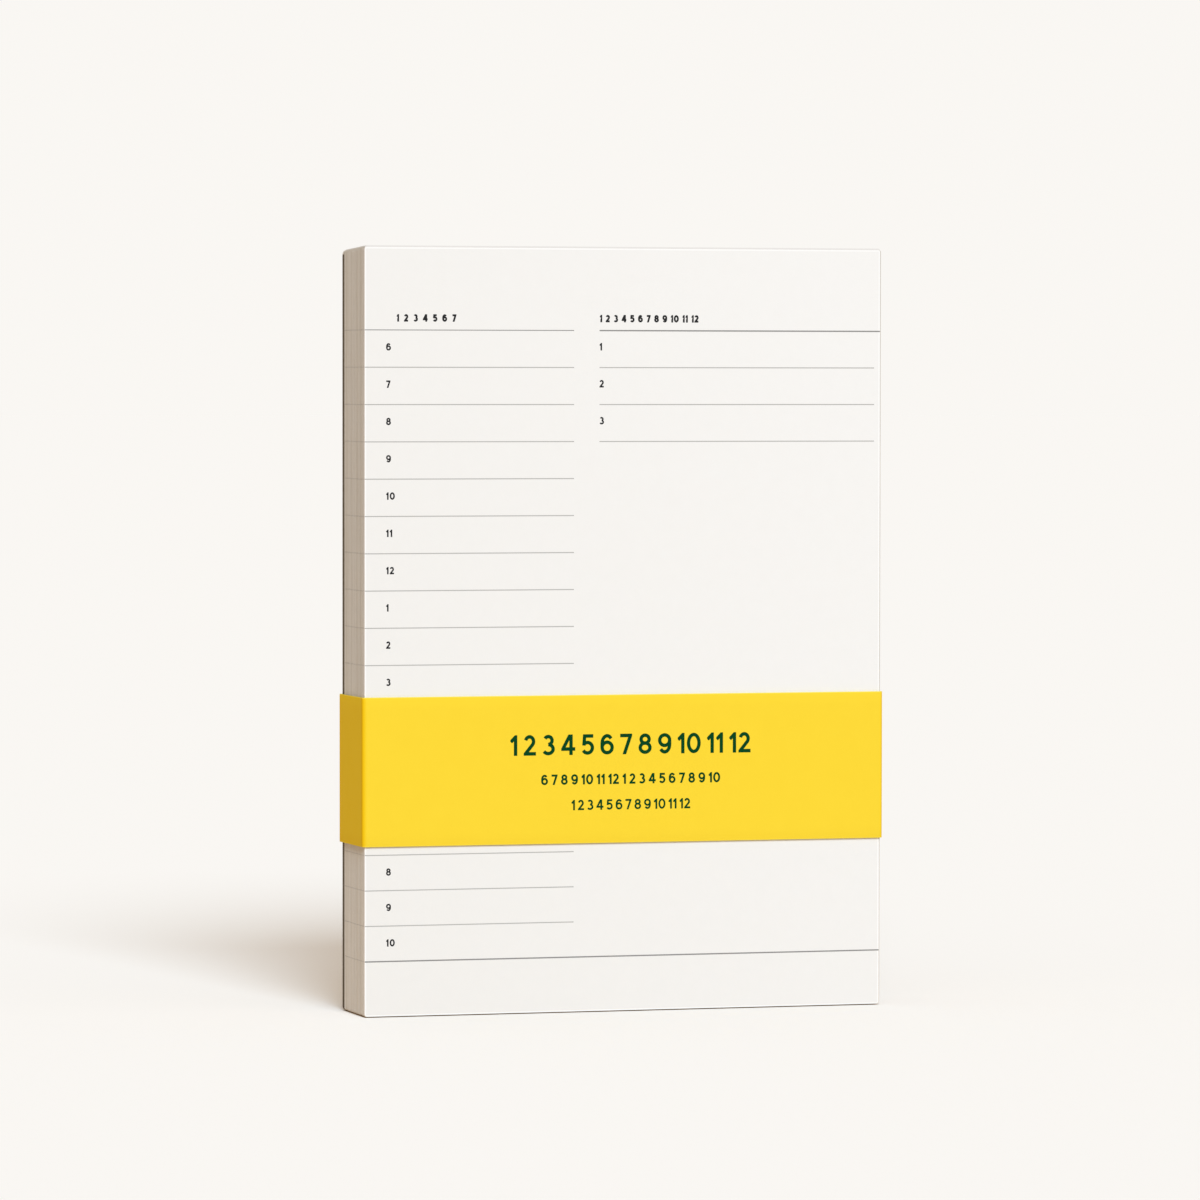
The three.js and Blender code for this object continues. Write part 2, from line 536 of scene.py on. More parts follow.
sheetLook = {
    "cornerRadius": 0.6 * mm,
    "cornerSteps": 5,
    "edgeRound": 0.03 * mm,
    "footLift": 0.27 * mm,  # the board stands on the table, the trimmed sheets just above it
    "footJog": 0.04 * mm,
    "sideWave": 0.05 * mm,  # slow swell of the trimmed sides through the depth of the pad
    "sideWaveLength": 3.1 * mm,
    "sideJog": 0.03 * mm,
    "frontStep": 0.30 * mm,  # the sheets just behind the first stand out this much on the right
    "frontStepSheets": 5,
    "faceFinish": (0.05, 0.85),  # specular level and roughness
    "faceGrain": (3200.0, 260.0, 1.6),
    "faceBump": 0.012 * mm,
    "faceColour": (0.929, 0.909, 0.880, 1),
    "faceCloudAndPaintedShade": (0.888, 0.863, 0.823, 1),  # darker cloud tone, and painted shade towards the foot and the left
    "paintedLightAcross": 0.55,  # painted light: what the right and the head give towards the paler colour
    "paintedLightUp": 0.45,
    "shareCloud": 0.5,
    "rimFinish": (0.05, 0.75),
    "rimGrain": (3200.0, 700.0, 1.6),
    "rimBump": 0.008 * mm,
    # painted highlight round the face of each sheet
    "rimPaintedHighlight": (1.0, 0.985, 0.96, 1),
    "rimHighlightShare": 0.75,
    "rimWidth": 0.45 * mm,
    "edgeFinish": (0.03, 0.95),
    "edgeGrain": (5000.0, 500.0, 1.0),
    "edgeBump": 0.02 * mm,
    "edgeColour": (0.861, 0.810, 0.734, 1),
    "edgeShade": (0.574, 0.532, 0.472, 1),
    "edgeTones": (0.34, 0.40, 0.12, 0.13),  # weights of sheet, bundle, fibres and knife marks
    "bundleStretch": (0.02, 1.0, 0.02),
    "bundleScale": 1900.0,
    "knifeScale": 1400.0,
    "knifeHeight": 0.6,
    "footPaintedLight": 0.115,  # painted light from the table: how much paler the edges are at the foot
    "footPalerReach": 110 * mm,
    "boardLinePaintedShade": (0.30, 0.26, 0.21, 1),  # painted shade where the last sheets meet the board
    "boardLineShadeShare": 0.75,
    "boardLineShadeReach": (0.7 * mm, 0.15 * mm),  # from the board, where the painted shade starts and is full
    "bleedColour": (0.46, 0.43, 0.39, 1),
    "bleedWidth": 0.26 * mm,
    "bleedJog": 0.10 * mm,
    "bleedShares": (0.35, 0.75),
    "warmDepth": 0.9 * mm,
    "warmShare": 0.55,
    "warmColour": (0.76, 0.61, 0.46, 1),
}


def sheetFaceMaterial(look):
    material, tree, shader, place = startMaterial("sheetFace", *look["faceFinish"])
    grain = useGroup(tree, paperGrain, place, *look["faceGrain"])
    axes = splitPlace(tree, place)
    # painted light and shade: the face is paler towards the right and the head, darker towards the
    # left and the foot
    across = stretch(tree, axes["X"], -halfWidth, halfWidth, 0.0, look["paintedLightAcross"])
    upward = stretch(tree, axes["Z"], 0.0, sheetHeight, 0.0, look["paintedLightUp"])
    cloud = calc(tree, "SUBTRACT", grain["Tone"], 0.5)
    share = weigh(tree, (across, 1.0), (upward, 1.0), (cloud, look["shareCloud"]))
    colour = blendColours(tree, share, look["faceCloudAndPaintedShade"], look["faceColour"])
    setSurface(tree, shader, colour, grain["Height"], look["faceBump"])
    return material


def sheetRimMaterial(look):
    # painted highlight: a bright line round the face of each sheet
    material, tree, shader, place = startMaterial("sheetRim", *look["rimFinish"])
    grain = useGroup(tree, paperGrain, place, *look["rimGrain"])
    colour = blendColours(tree, grain["Tone"], look["faceColour"], look["rimPaintedHighlight"])
    colour = blendColours(tree, look["rimHighlightShare"], colour, look["rimPaintedHighlight"])
    setSurface(tree, shader, colour, grain["Height"], look["rimBump"])
    return material


def sheetEdgeMaterial(look):
    material, tree, shader, place = startMaterial("sheetEdge", *look["edgeFinish"])
    x, y, z = splitPlace(tree, place)
    depth = calc(tree, "SUBTRACT", y, padFront - (sheetPitch - sheetThickness) / 2)
    number = calc(tree, "FLOOR", calc(tree, "DIVIDE", depth, sheetPitch))
    own = addNode(
        tree, "ShaderNodeTexWhiteNoise", {"W": number}, noise_dimensions="1D"
    ).outputs["Value"]
    # bundles of sheets that took the light differently, drawn out along the edge
    drawnOut = scalePlace(tree, place, look["bundleStretch"])
    bundle = noiseAt(tree, drawnOut, look["bundleScale"], detail=3.0, roughness=0.65)
    bundle = stretch(tree, bundle, *noiseSpan, 0.0, 1.0)
    grain = useGroup(tree, paperGrain, place, *look["edgeGrain"])
    marks = useGroup(tree, knifeMarks, place, look["knifeScale"])["Mark"]
    tone = weigh(tree, *zip((own, bundle, grain["Tone"], marks), look["edgeTones"]))
    colour = blendColours(tree, tone, look["edgeShade"], look["edgeColour"])
    # the rules run off the left edge, and two of them off the right one
    jog = calc(tree, "MULTIPLY", calc(tree, "SUBTRACT", own, 0.5), look["bleedJog"])
    height = calc(tree, "SUBTRACT", z, jog)
    onLeft = calc(tree, "LESS_THAN", x, 0.0)
    bleed = 0.0
    for row, rule in enumerate(rules):
        mark = calc(tree, "COMPARE", height, rule, look["bleedWidth"] / 2)
        if 0 < row < len(rules) - 1:
            mark = calc(tree, "MULTIPLY", mark, onLeft)
        bleed = calc(tree, "MAXIMUM", bleed, mark)
    bleed = calc(tree, "MULTIPLY", bleed, stretch(tree, own, 0.0, 1.0, *look["bleedShares"]))
    colour = blendColours(tree, bleed, colour, look["bleedColour"])
    # painted light: the light that the first sheets let through warms their left edges
    warm = stretch(tree, depth, 0.0, look["warmDepth"], look["warmShare"], 0.0)
    colour = blendColours(tree, calc(tree, "MULTIPLY", warm, onLeft), colour, look["warmColour"])
    # painted shade: a dark line runs along the board, and painted light makes the edges paler at
    # the foot
    start, full = (sheetCount * sheetPitch - reach for reach in look["boardLineShadeReach"])
    last = stretch(tree, depth, start, full, 0.0, look["boardLineShadeShare"])
    colour = blendColours(tree, last, colour, look["boardLinePaintedShade"])
    paintedFootLight = stretch(tree, z, 0.0, look["footPalerReach"], 1 + look["footPaintedLight"], 1.0)
    colour = calcVector(tree, "SCALE", colour, Scale=paintedFootLight)
    bumpHeight = weigh(tree, (grain["Height"], 1.0), (marks, look["knifeHeight"]))
    setSurface(tree, shader, colour, bumpHeight, look["edgeBump"])
    return material


faceKind, edgeKind, rimKind = range(3)
sheetMaterials = [
    makeMaterial(sheetLook)
    for makeMaterial in (sheetFaceMaterial, sheetEdgeMaterial, sheetRimMaterial)
]


def sheetShift(number):
    # how far a sheet's left and right edges stand from the nominal ones
    if number == 1:
        return 0.0, 0.0
    look = sheetLook
    depth = number * sheetPitch
    wave = look["sideWave"] * ripple((depth, 0, 0), look["sideWaveLength"], seed=4.2)
    left = wave + random.uniform(-1, 1) * look["sideJog"]
    right = wave + random.uniform(-1, 1) * look["sideJog"]
    if number <= 1 + look["frontStepSheets"]:
        right = look["frontStep"] + random.uniform(-0.5, 0.5) * look["sideJog"]
    return left, right


def sheetSolid(number):
    # points, faces and face materials of one sheet, its rims a little rounded
    look = sheetLook
    front = padFront + (number - 1) * sheetPitch
    back = front + sheetThickness
    leftShift, rightShift = sheetShift(number)
    foot = look["footLift"] + random.uniform(-1, 1) * look["footJog"]
    rim, highlightWidth = look["edgeRound"], look["rimWidth"]
    rings = ((front, highlightWidth), (front, rim), (front + rim, 0.0), (back - rim, 0.0), (back, rim))
    points, faces = stackOutlines(
        rings, leftShift - halfWidth, rightShift + halfWidth, foot,
        look["cornerRadius"], look["cornerSteps"],
    )
    kinds = [faceKind] + [edgeKind] * (len(faces) - 2) + [faceKind]
    # painted shade: behind the first sheet, the right margin keeps the darker edge colour along
    # the strip by which those sheets stand out
    for step in range(len(points) // len(rings)):
        if number == 1 or points[step][0] < halfWidth - 2 * highlightWidth:
            kinds[1 + step] = rimKind
    return points, faces, kinds


def makeSheets(name, numbers, nodeName, body):
    points, faces, kinds = [], [], []
    for number in numbers:
        somePoints, someFaces, someKinds = sheetSolid(number)
        faces += [tuple(len(points) + corner for corner in face) for face in someFaces]
        points += somePoints
        kinds += someKinds
    piece = makePiece(name, points, faces, sheetMaterials, kinds)
    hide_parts(nodeName)
    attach(piece, body)


for number in range(1, singleSheets + 1):
    label = f"{number:03d}"
    makeSheets(f"leaf_{label}", [number], f"sheet_{label}", f"tear_off_{label}")
    printSheet(f"leaf_{label}", f"tear_off_{label}", padFront + (number - 1) * sheetPitch)

for node in sorted(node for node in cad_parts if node.startswith("sheets_")):
    first, last = (int(part) for part in node.split("_")[1:])
    makeSheets(f"lift_{first:03d}_{last:03d}", range(first, last + 1), node, "pad")
printSheet(f"lift_{singleSheets + 1:03d}", "pad", padFront + singleSheets * sheetPitch)

print("sheets made:", sheetCount)

# Back board

boardLook = {
    "cornerRadius": 1.15 * mm,
    "cornerSteps": 10,
    "rimRound": 0.12 * mm,
    "rimEase": 0.3,
    "finish": (0.10, 0.92),  # specular level and roughness
    "grain": (1500.0, 120.0, 2.2),
    "bump": 0.05 * mm,
    "colour": (0.27, 0.222, 0.178, 1),
    "shade": (0.19, 0.155, 0.123, 1),
    "flecks": (  # seed, scale, how rare they are, colour
        (0.0, 900.0, 0.70, (0.06, 0.048, 0.038, 1)),
        (3.1, 700.0, 0.69, (0.50, 0.45, 0.39, 1)),
    ),
    "fleckStretch": (0.45, 1.0, 1.0),
    "fleckEdge": 0.04,
    "fleckShare": 0.8,
    "edgeColour": (0.105, 0.081, 0.060, 1),
    "plyScale": 2600.0,
    "plyShares": (0.5, 0.9),
    "backSkin": 0.08 * mm,  # this much of the depth has the colour of the back
    "knifeScale": 1100.0,
    "knifeHeight": 0.3,
}


def boardMaterial(look):
    material, tree, shader, place = startMaterial("greyboard", *look["finish"])
    grain = useGroup(tree, paperGrain, place, *look["grain"])
    colour = blendColours(tree, grain["Tone"], look["shade"], look["colour"])
    # short fibres of all sorts of old paper
    for seed, scale, low, fleck in look["flecks"]:
        moved = scalePlace(tree, place, look["fleckStretch"], seed)
        spots = noiseAt(tree, moved, scale, detail=1.0, distortion=2.0)
        share = stretch(tree, spots, low, low + look["fleckEdge"], 0.0, look["fleckShare"])
        colour = blendColours(tree, share, colour, fleck)
    # plies of the board, seen where it is cut
    y = splitPlace(tree, place)["Y"]
    inputs = {"W": calc(tree, "MULTIPLY", y, look["plyScale"]), "Scale": 1.0}
    plies = addNode(tree, "ShaderNodeTexNoise", inputs, noise_dimensions="1D").outputs["Fac"]
    share = stretch(tree, plies, *noiseCore, *look["plyShares"])
    inside = calc(tree, "LESS_THAN", y, padBack - look["backSkin"])
    colour = blendColours(tree, calc(tree, "MULTIPLY", inside, share), colour, look["edgeColour"])
    marks = useGroup(tree, knifeMarks, place, look["knifeScale"])["Mark"]
    height = weigh(tree, (grain["Height"], 1.0), (marks, look["knifeHeight"]))
    setSurface(tree, shader, colour, height, look["bump"])
    return material


def makeBoard(look):
    front, back = boardBox[0].y, boardBox[1].y
    rim = look["rimRound"]
    ease = look["rimEase"] * rim
    rings = [(front, rim), (front + ease, ease), (front + rim, 0.0)]
    rings += [(back - rim, 0.0), (back - ease, ease), (back, rim)]
    points, faces = stackOutlines(
        rings, -halfWidth, halfWidth, 0.0, look["cornerRadius"], look["cornerSteps"]
    )
    piece = makePiece("grey_back_board", points, faces, [boardMaterial(look)], smoothAngle=40)
    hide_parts("back_board")
    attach(piece, "pad")


makeBoard(boardLook)
print("back board made")

# Padding glue over the head

glueLook = {
    "ridge": 0.05 * mm,  # how high the brush left the glue in places
    "ridgeLimit": 0.03 * mm,
    "ridgeWidth": 0.9 * mm,
    "ridgeStretch": 40,  # the ridges are this much longer along the head
    "poolWidth": 19 * mm,
    "ridgeShares": (0.65, 0.35),  # of ridges and pools
    "soak": 0.02 * mm,  # how far it soaks into the sheets
    "sideGap": 0.04 * mm,
    "endRound": 0.45 * mm,
    "endSteps": (0.1, 0.22, 0.38, 0.6, 0.8, 1.0, 1.3),
    "endDrop": 0.75,
    "boardEase": 0.3 * mm,
    "stepsAcross": 90,
    "stepsDeep": 48,
    "specular": 0.06,
    "roughness": (0.68, 0.55),  # from the thin places to the pools
    "streakStretch": (0.03, 1.0, 0.25),
    "streakScale": 1600.0,
    "poolScale": 90.0,
    "coverShares": (0.6, 0.4),  # of streaks and pools
    "seamHeight": 0.08,
    "bump": 0.05 * mm,
    "colour": (0.94, 0.912, 0.868, 1),
    "thinColour": (0.88, 0.852, 0.808, 1),
    "endPaintedShade": (0.72, 0.67, 0.60, 1),  # painted shade, darker over both ends of the head
    "endShadeReach": (0.15 * mm, 0.9 * mm),
    "endShadeShare": 0.9,
    "frontColour": (0.80, 0.775, 0.745, 1),
    "frontDepth": 0.03 * mm,
    "frontShare": 0.9,
}


def glueTop(x, y):
    # brush ridges run along the head, with a slow unevenness across them
    look = glueLook
    ridges = ripple((x / look["ridgeStretch"], y, 0), look["ridgeWidth"], seed=1.7)
    pools = ripple((x, y * 2, 0), look["poolWidth"], seed=8.3)
    ridgeShare, poolShare = look["ridgeShares"]
    return look["ridge"] * (ridgeShare * ridges + poolShare * pools)


def cornerDrop(x, y):
    # the film follows the rounded corners of the sheets, and of the board behind them
    drops = []
    for radius in (sheetLook["cornerRadius"], boardLook["cornerRadius"]):
        over = max(0.0, abs(x) - (halfWidth - radius))
        drops.append(radius - math.sqrt(radius ** 2 - over ** 2))
    onBoard = min(1.0, max(0.0, (y - boardBox[0].y) / glueLook["boardEase"] + 1))
    return drops[0] + onBoard * (drops[1] - drops[0])


def glueSolid(look, front, back, stepsDeep):
    half = halfWidth - look["sideGap"]
    across = [-half + 2 * half * step / look["stepsAcross"]
              for step in range(look["stepsAcross"] + 1)]
    rounding = [-half + look["endRound"] * share for share in look["endSteps"]]
    across = sorted(across + rounding + [-x for x in rounding])
    deep = [front + (back - front) * step / stepsDeep for step in range(stepsDeep + 1)]
    rise = firstFilmTop - sheetHeight  # of the film over the sheets
    limit = look["ridgeLimit"]
    points = []
    for x in across:
        fromEnd = min(half - abs(x), look["endRound"]) / look["endRound"]
        fall = 1 - math.sqrt(max(0.0, 1 - (1 - fromEnd) ** 2))
        top = rise - limit - fall * (rise + look["soak"]) * look["endDrop"]
        for y in reversed(deep):
            points.append((x, y, headAt(y) - look["soak"] - cornerDrop(x, y)))
        for y in deep:
            ridge = min(glueTop(x, y), limit)
            points.append((x, y, headAt(y) + top + ridge - cornerDrop(x, y)))
    return points, ringFaces(2 * len(deep), len(across))


def glueMaterial(look):
    material, tree, shader, place = startMaterial("paddingGlue", look["specular"])
    drawnOut = scalePlace(tree, place, look["streakStretch"])
    streaks = noiseAt(tree, drawnOut, look["streakScale"], detail=4.0, roughness=0.6)
    pools = noiseAt(tree, place, look["poolScale"], detail=3.0)
    cover = weigh(tree, *zip((streaks, pools), look["coverShares"]))
    cover = stretch(tree, cover, *noiseCore, 0.0, 1.0)
    colour = blendColours(tree, cover, look["thinColour"], look["colour"])
    axes = splitPlace(tree, place)
    # painted shade: the film is darker over both ends of the head
    fromEnd = calc(tree, "SUBTRACT", halfWidth, calc(tree, "ABSOLUTE", axes["X"]))
    paintedEndShade = stretch(tree, fromEnd, *look["endShadeReach"], look["endShadeShare"], 0.0)
    colour = blendColours(tree, paintedEndShade, colour, look["endPaintedShade"])
    depth = calc(tree, "SUBTRACT", axes["Y"], padFront)
    atFront = calc(tree, "LESS_THAN", depth, look["frontDepth"])
    atFront = calc(tree, "MULTIPLY", atFront, look["frontShare"])
    colour = blendColours(tree, atFront, colour, look["frontColour"])
    rough = stretch(tree, pools, *noiseSpan, *look["roughness"])
    feed(tree, rough, shader.inputs["Roughness"])
    # a faint line over each gap between the sheets
    seams = calc(tree, "SINE", calc(tree, "MULTIPLY", depth, 2 * math.pi / sheetPitch))
    height = weigh(tree, (streaks, 1.0), (seams, look["seamHeight"]))
    setSurface(tree, shader, colour, height, look["bump"])
    return material


paddingGlue = glueMaterial(glueLook)


def makeGlue(name, node, body, stepsDeep):
    low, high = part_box(node)
    points, faces = glueSolid(glueLook, low.y, high.y, stepsDeep)
    piece = makePiece(name, points, faces, [paddingGlue], smoothAngle=35)
    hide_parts(node)
    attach(piece, body)


for number in range(1, singleSheets + 1):
    label = f"{number:03d}"
    makeGlue(f"leaf_{label}_glue_strip", f"sheet_{label}_glue", f"tear_off_{label}", 1)
makeGlue("head_glue_film", "head_glue", "pad", glueLook["stepsDeep"])

print("padding glue made")

# Belly band

bandLook = {
    "thickness": 0.35 * mm,
    "foldRadius": 0.35 * mm,  # inside of each fold
    "foldSteps": 10,
    "foldStation": 0.35 * mm,  # a station this close to each fold keeps the flats flat
    "lap": 14.0 * mm,  # each end runs this far past the middle of the back
    "climb": 4.0 * mm,
    "rimRound": 0.15 * mm,
    "rimTurns": (0.52, 1.05),  # radians
    "stepsUp": 12,
    "stepsAcross": 26,
    "stepsDeep": 6,
    "swell": 0.05 * mm,
    "swellWidth": 31 * mm,
    "stillFolds": 8,  # the higher, the nearer to a fold the swell starts
    "specular": 0.01,
    "roughness": (0.76, 0.64),
    "grain": (2600.0, 150.0, 1.5),
    "bump": 0.014 * mm,
    "colour": (0.985, 0.705, 0.043, 1),
    "shade": (0.965, 0.675, 0.037, 1),
    # painted shade along the folds
    "foldPaintedShade": (0.93, 0.58, 0.006, 1),
    "foldShadeReach": (0.4 * mm, 1.2 * mm),
    "foldShadeShare": 0.9,
    "foldAlongSide": 0.55,  # the painted shade runs wider on the sides than on the front
    "rightFoldShadeShare": 0.25,  # the right folds get less painted shade than the left ones
    # paler card and a painted highlight along the cut rims
    "paleCutAndHighlight": (1.0, 0.84, 0.11, 1),
    "cutReach": (0.10 * mm, 0.32 * mm),
    "paleCutAndHighlightShare": 0.75,
    "sidePaintedWarmLight": (1.02, 0.985, 0.92),  # painted warm light: the sides are tinted a little deeper in colour than the front
    "sidePaintedLightReach": 0.42 * mm,
}

bandFrontInner = bandBox[0].y + bandLook["thickness"]
bandInnerX = bandBox[1].x - bandLook["thickness"]
bandBackInner = padBack + (padFront - bandFrontInner)
seamLift = seamBox[1].y - (bandBackInner + bandLook["thickness"])


def bandMiddleLine(look):
    # from above: the inner end behind the board, then right, front, left, and over itself
    half = look["thickness"] / 2
    radius = look["foldRadius"] + half
    reachX = bandInnerX + half
    frontY = bandFrontInner - half
    backY = bandBackInner + half
    straightX = reachX - radius
    outerY = backY + look["thickness"] + seamLift

    def run(start, end, steps):
        start, way = Vector(start), Vector(end) - Vector(start)
        near = look["foldStation"] / way.length
        inner = [near, 1 - near] if near < 0.25 else []
        shares = sorted([step / steps for step in range(steps + 1)] + inner)
        return [tuple(start + way * share) for share in shares]

    def fold(centreX, centreY, start):
        steps = look["foldSteps"]
        angles = [math.radians(start - 90 * step / steps) for step in range(1, steps)]
        return [(centreX + radius * math.cos(a), centreY + radius * math.sin(a)) for a in angles]

    across, deep, lap, climb = look["stepsAcross"], look["stepsDeep"], look["lap"], look["climb"]
    climbStart = -lap - 2 * climb
    line = run((-lap, backY), (straightX, backY), across)
    line += fold(straightX, backY - radius, 90)
    line += run((reachX, backY - radius), (reachX, frontY + radius), deep)
    line += fold(straightX, frontY + radius, 0)
    line += run((straightX, frontY), (-straightX, frontY), 2 * across)
    line += fold(-straightX, frontY + radius, -90)
    line += run((-reachX, frontY + radius), (-reachX, backY - radius), deep)
    line += fold(-straightX, backY - radius, 180)
    line += run((-straightX, backY), (climbStart, backY), across)
    line += [(climbStart + climb / 2, (backY + outerY) / 2)]
    line += run((climbStart + climb, outerY), (lap, outerY), across)
    return line


def bandSection(look):
    # half a turn of each rim and the flats between, as (outward, height)
    half, rim, steps = look["thickness"] / 2, look["rimRound"], look["stepsUp"]
    foot, head = bandBox[0].z, bandBox[1].z
    rise = head - foot - 2 * rim
    heights = [foot + rim + rise * step / steps for step in range(steps + 1)]
    ease = [(rim * (1 - math.cos(a)), rim * (1 - math.sin(a))) for a in look["rimTurns"]]
    section = [(half, z) for z in heights]
    section += [(half - inward, head - down) for inward, down in ease]
    section += [(half - rim, head), (-half + rim, head)]
    section += [(-half + inward, head - down) for inward, down in reversed(ease)]
    section += [(-half, z) for z in reversed(heights)]
    section += [(-half + inward, foot + up) for inward, up in ease]
    section += [(-half + rim, foot), (half - rim, foot)]
    section += [(half - inward, foot + up) for inward, up in reversed(ease)]
    return section


def bandSwell(x, y, z):
    # the paper doesn't lie quite flat
    return bandLook["swell"] * ripple((x, y, z), bandLook["swellWidth"], seed=2.6)


def makeBand(look):
    line = bandMiddleLine(look)
    section = bandSection(look)
    points = []
    for place, (x, y) in enumerate(line):
        before = Vector(line[max(place - 1, 0)])
        after = Vector(line[min(place + 1, len(line) - 1)])
        way = (after - before).normalized()
        outward = Vector((-way.y, way.x))
        flat = max(abs(outward.x), abs(outward.y)) ** look["stillFolds"]
        for reach, z in section:
            out = reach + flat * bandSwell(x, y, z)
            points.append((x + outward.x * out, y + outward.y * out, z))
    faces = ringFaces(len(section), len(line))
    piece = makePiece("yellow_band", points, faces, [bandMaterial(look)], smoothAngle=20)
    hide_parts("belly_band")
    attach(piece, "band")


def insideOf(tree, coordinate, low, high):
    # how far inside two limits a coordinate lies
    away = calc(tree, "ABSOLUTE", calc(tree, "SUBTRACT", coordinate, (low + high) / 2))
    return calc(tree, "SUBTRACT", (high - low) / 2, away)


def bandMaterial(look):
    material, tree, shader, place = startMaterial("bandPaper", look["specular"])
    grain = useGroup(tree, paperGrain, place, *look["grain"])
    colour = blendColours(tree, grain["Tone"], look["shade"], look["colour"])
    # painted shade darkens the folds, and the cut rims show paler card with a painted highlight
    x, y, z = splitPlace(tree, place)
    outerBack = bandBackInner + look["thickness"]
    fromX = insideOf(tree, x, -bandBox[1].x, bandBox[1].x)
    fromY = insideOf(tree, y, bandBox[0].y, outerBack)
    nearFold = weigh(tree, (fromX, 1.0), (fromY, look["foldAlongSide"]))
    foldShadeShare = stretch(tree, nearFold, *look["foldShadeReach"], look["foldShadeShare"], 0.0)
    handed = stretch(tree, x, -halfWidth, halfWidth, 1.0, look["rightFoldShadeShare"])
    foldShadeShare = calc(tree, "MULTIPLY", foldShadeShare, handed)
    colour = blendColours(tree, foldShadeShare, colour, look["foldPaintedShade"])
    # paler card at the cut rims, with a painted highlight along them
    fromRim = insideOf(tree, z, bandBox[0].z, bandBox[1].z)
    paleCutAndHighlightShare = stretch(tree, fromRim, *look["cutReach"], look["paleCutAndHighlightShare"], 0.0)
    colour = blendColours(tree, paleCutAndHighlightShare, colour, look["paleCutAndHighlight"])
    # painted warm light on the sides of the band
    onSide = calc(tree, "LESS_THAN", fromX, look["sidePaintedLightReach"])
    toned = calcVector(tree, "MULTIPLY", colour, look["sidePaintedWarmLight"])
    colour = blendColours(tree, onSide, colour, toned)
    rough = stretch(tree, grain["Tone"], *noiseSpan, *look["roughness"])
    feed(tree, rough, shader.inputs["Roughness"])
    setSurface(tree, shader, colour, grain["Height"], look["bump"])
    return material


makeBand(bandLook)

# Glue in the band's lap

seamLook = {
    "stepsAcross": 20,
    "stepsUp": 12,
    "finish": (0.5, 0.45),  # specular level and roughness
    "grain": (1200.0, 300.0, 2.0),
    "bump": 0.02 * mm,
    "colour": (0.80, 0.66, 0.34, 1),
    "shade": (0.70, 0.56, 0.26, 1),
}


def seamMaterial(look):
    material, tree, shader, place = startMaterial("seamGlue", *look["finish"])
    grain = useGroup(tree, paperGrain, place, *look["grain"])
    colour = blendColours(tree, grain["Tone"], look["shade"], look["colour"])
    setSurface(tree, shader, colour, grain["Height"], look["bump"])
    return material


def makeSeamGlue(look):
    # a thin strip that swells with the two layers it holds
    low, high = seamBox
    columns, rows = look["stepsAcross"], look["stepsUp"]
    heights = [low.z + (high.z - low.z) * row / rows for row in range(rows + 1)]
    points = []
    for column in range(columns + 1):
        x = low.x + (high.x - low.x) * column / columns
        points += [(x, low.y + bandSwell(x, low.y, z), z) for z in heights]
        points += [(x, high.y + bandSwell(x, low.y, z), z) for z in reversed(heights)]
    faces = ringFaces(2 * len(heights), columns + 1)
    piece = makePiece("lap_glue_strip", points, faces, [seamMaterial(look)])
    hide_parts("band_seam_glue")
    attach(piece, "band")


makeSeamGlue(seamLook)

# Print on the band: plain numbers in three lines

bandPrintLook = {
    "middle": 75.6 * mm,  # from the sheet's left edge
    "ink": ((0.002, 0.057, 0.0145, 1), 0.8, 0.002),  # colour, roughness, how much it fades
    "inkSink": 0.06 * mm,
    "digitGap": 0.12,
    "lines": (  # numbers, height, weight of the pen, foot, width
        (countUp(12), 5.65 * mm, 0.172, 70.95 * mm, 69.1 * mm),
        (hours, 2.85 * mm, 0.194, 62.8 * mm, 51.5 * mm),
        (countUp(12), 2.85 * mm, 0.18, 55.75 * mm, 34.2 * mm),
    ),
}


def makeBandPrint(look):
    shapes = []
    for numbers, height, weight, foot, width in look["lines"]:
        left = look["middle"] - width / 2
        shapes += setNumbers(numbers, height, weight, look["digitGap"], left, foot, width)
    material = inkMaterial("bandInk", *look["ink"])
    piece = printSolid("yellow_band_numbers", shapes, bandBox[0].y, look["inkSink"], material)
    middleY = bandFrontInner - bandLook["thickness"] / 2
    for point in piece.data.vertices:
        point.co.y -= bandSwell(point.co.x, middleY, point.co.z)
    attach(piece, "band")


makeBandPrint(bandPrintLook)
print("band made")

# Table, light and camera

stageLook = {
    "size": 60.0,
    "backdrop": (0.953, 0.930, 0.896, 1),
    "tableSeen": (1.264, 1.2315, 1.1885, 1),
    "tablePaintedShadeUnder": (1.0, 0.66, 0.34, 1),  # painted shade, where something stands close above it
    "underReach": 3 * mm,
    "underShades": (0.15, 0.42),  # how open the table is where the tint is full and where it ends
    "tableLit": (0.82, 0.65, 0.49, 1),  # what the table throws back on the pad
    "nearest": 0.1 * mm,  # no point of the table is taken as nearer to the pad's front
    "skyColour": (0.430, 0.370, 0.309, 1),
    "sunColour": (0.729, 0.866, 1.0),
    "sunStrength": 2.566,
    "sunHeight": 33.0,  # degrees above the table
    "sunTurn": -5.8,  # degrees from straight ahead of the first sheet, towards its right
    "sunSpread": 25.0,
    "paperGlow": (0.645, 0.694, 0.747),  # painted shade on the table, taking back the light that the pad throws on it
    "bandGlow": (0.06, -0.25, -1.0),  # what the band in front of the paper changes in it
}


def seenDirectly(tree):
    # 1 where the eye, a reflection or a view through glass meets the surface
    path = addNode(tree, "ShaderNodeLightPath").outputs
    seen = calc(tree, "MAXIMUM", path["Is Camera Ray"], path["Is Glossy Ray"])
    return calc(tree, "MAXIMUM", seen, path["Is Transmission Ray"])


def closeAbove(tree, look):
    # painted shade: 1 where something stands close above the table
    inputs = {"Distance": look["underReach"]}
    clear = addNode(tree, "ShaderNodeAmbientOcclusion", inputs, samples=8).outputs["AO"]
    return stretch(tree, clear, *look["underShades"], 1.0, 0.0)


